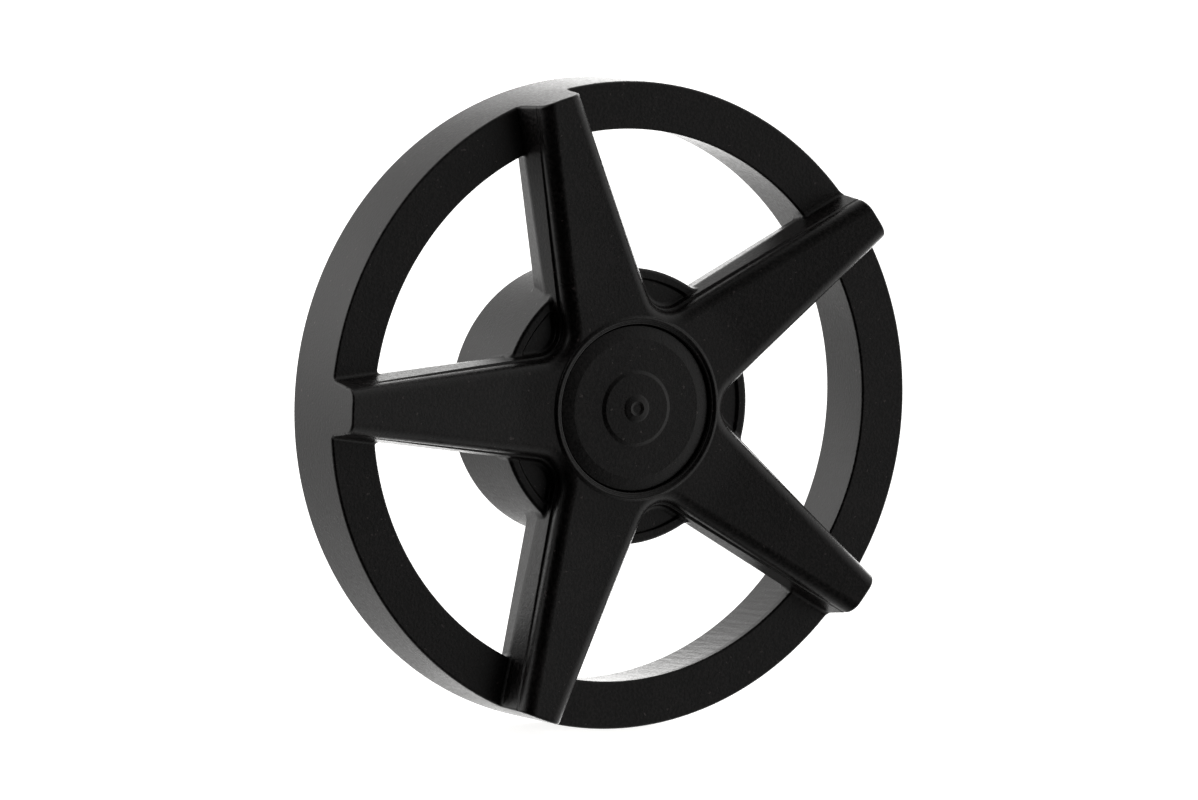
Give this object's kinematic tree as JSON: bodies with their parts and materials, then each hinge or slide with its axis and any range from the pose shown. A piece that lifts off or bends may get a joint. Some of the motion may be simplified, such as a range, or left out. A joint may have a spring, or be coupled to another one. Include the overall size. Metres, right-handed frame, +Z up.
{
  "type": "wheel",
  "caption": "Small moulded plastic wheel with a raised star front and a capped hub, free to spin on a ball bearing and a stub axle.",
  "frame": {"origin": "on the axle's centre line, midway between the star plate's front face and the axle's rear face", "axes": "+Y along the axle, from the star front towards the axle's rear face; +Z up; one spoke points to -X at rest"},
  "size_m": [0.06, 0.0164, 0.06],
  "materials": {
    "black_plastic": "black moulded plastic with a fine satin grain",
    "cap_plastic": "black moulded plastic, satin, with a gate mark in the centre",
    "bearing_steel": "ground bearing steel",
    "ball_steel": "polished chrome steel",
    "shield_steel": "pressed steel sheet",
    "spring_steel": "dark oiled spring steel",
    "plated_steel": "zinc-plated turned steel",
    "cage_polymer": "natural nylon"
  },
  "bodies": {
    "axle": {"axle_pin": "plated_steel", "rear_spacer": "plated_steel", "front_washer": "plated_steel", "retaining_ring": "spring_steel", "bearing_inner_ring": "bearing_steel"},
    "wheel": {"wheel_moulding": "black_plastic", "hub_cap": "cap_plastic", "bearing_outer_ring": "bearing_steel", "front_shield": "shield_steel", "front_shield_clip": "spring_steel", "rear_shield": "shield_steel", "rear_shield_clip": "spring_steel"},
    "cage": {"bearing_cage": "cage_polymer"},
    "ball_1": {"ball_1": "ball_steel"},
    "ball_2": {"ball_2": "ball_steel"},
    "ball_3": {"ball_3": "ball_steel"},
    "ball_4": {"ball_4": "ball_steel"},
    "ball_5": {"ball_5": "ball_steel"},
    "ball_6": {"ball_6": "ball_steel"},
    "ball_7": {"ball_7": "ball_steel"}
  },
  "joints": [
    {"name": "wheel_spin", "type": "hinge", "parent": "axle", "child": "wheel", "pos_m": [0, 0, 0], "axis": [0, 1, 0], "continuous": true},
    {"name": "cage_spin", "type": "hinge", "parent": "axle", "child": "cage", "pos_m": [0, 0, 0], "axis": [0, 1, 0], "continuous": true},
    {"name": "ball_1_roll", "type": "hinge", "parent": "cage", "child": "ball_1", "pos_m": [0.0075, 0.0021, 0], "axis": [0, 1, 0], "continuous": true},
    {"name": "ball_2_roll", "type": "hinge", "parent": "cage", "child": "ball_2", "pos_m": [0.00468, 0.0021, 0.00586], "axis": [0, 1, 0], "continuous": true},
    {"name": "ball_3_roll", "type": "hinge", "parent": "cage", "child": "ball_3", "pos_m": [-0.00167, 0.0021, 0.00731], "axis": [0, 1, 0], "continuous": true},
    {"name": "ball_4_roll", "type": "hinge", "parent": "cage", "child": "ball_4", "pos_m": [-0.00676, 0.0021, 0.00325], "axis": [0, 1, 0], "continuous": true},
    {"name": "ball_5_roll", "type": "hinge", "parent": "cage", "child": "ball_5", "pos_m": [-0.00676, 0.0021, -0.00325], "axis": [0, 1, 0], "continuous": true},
    {"name": "ball_6_roll", "type": "hinge", "parent": "cage", "child": "ball_6", "pos_m": [-0.00167, 0.0021, -0.00731], "axis": [0, 1, 0], "continuous": true},
    {"name": "ball_7_roll", "type": "hinge", "parent": "cage", "child": "ball_7", "pos_m": [0.00468, 0.0021, -0.00586], "axis": [0, 1, 0], "continuous": true}
  ],
  "couplings": [
    {"joint": "cage_spin", "follows": "wheel_spin", "ratio": 0.6323},
    {"joint": "ball_1_roll", "follows": "wheel_spin", "ratio": 1.7573},
    {"joint": "ball_2_roll", "follows": "wheel_spin", "ratio": 1.7573},
    {"joint": "ball_3_roll", "follows": "wheel_spin", "ratio": 1.7573},
    {"joint": "ball_4_roll", "follows": "wheel_spin", "ratio": 1.7573},
    {"joint": "ball_5_roll", "follows": "wheel_spin", "ratio": 1.7573},
    {"joint": "ball_6_roll", "follows": "wheel_spin", "ratio": 1.7573},
    {"joint": "ball_7_roll", "follows": "wheel_spin", "ratio": 1.7573}
  ]
}
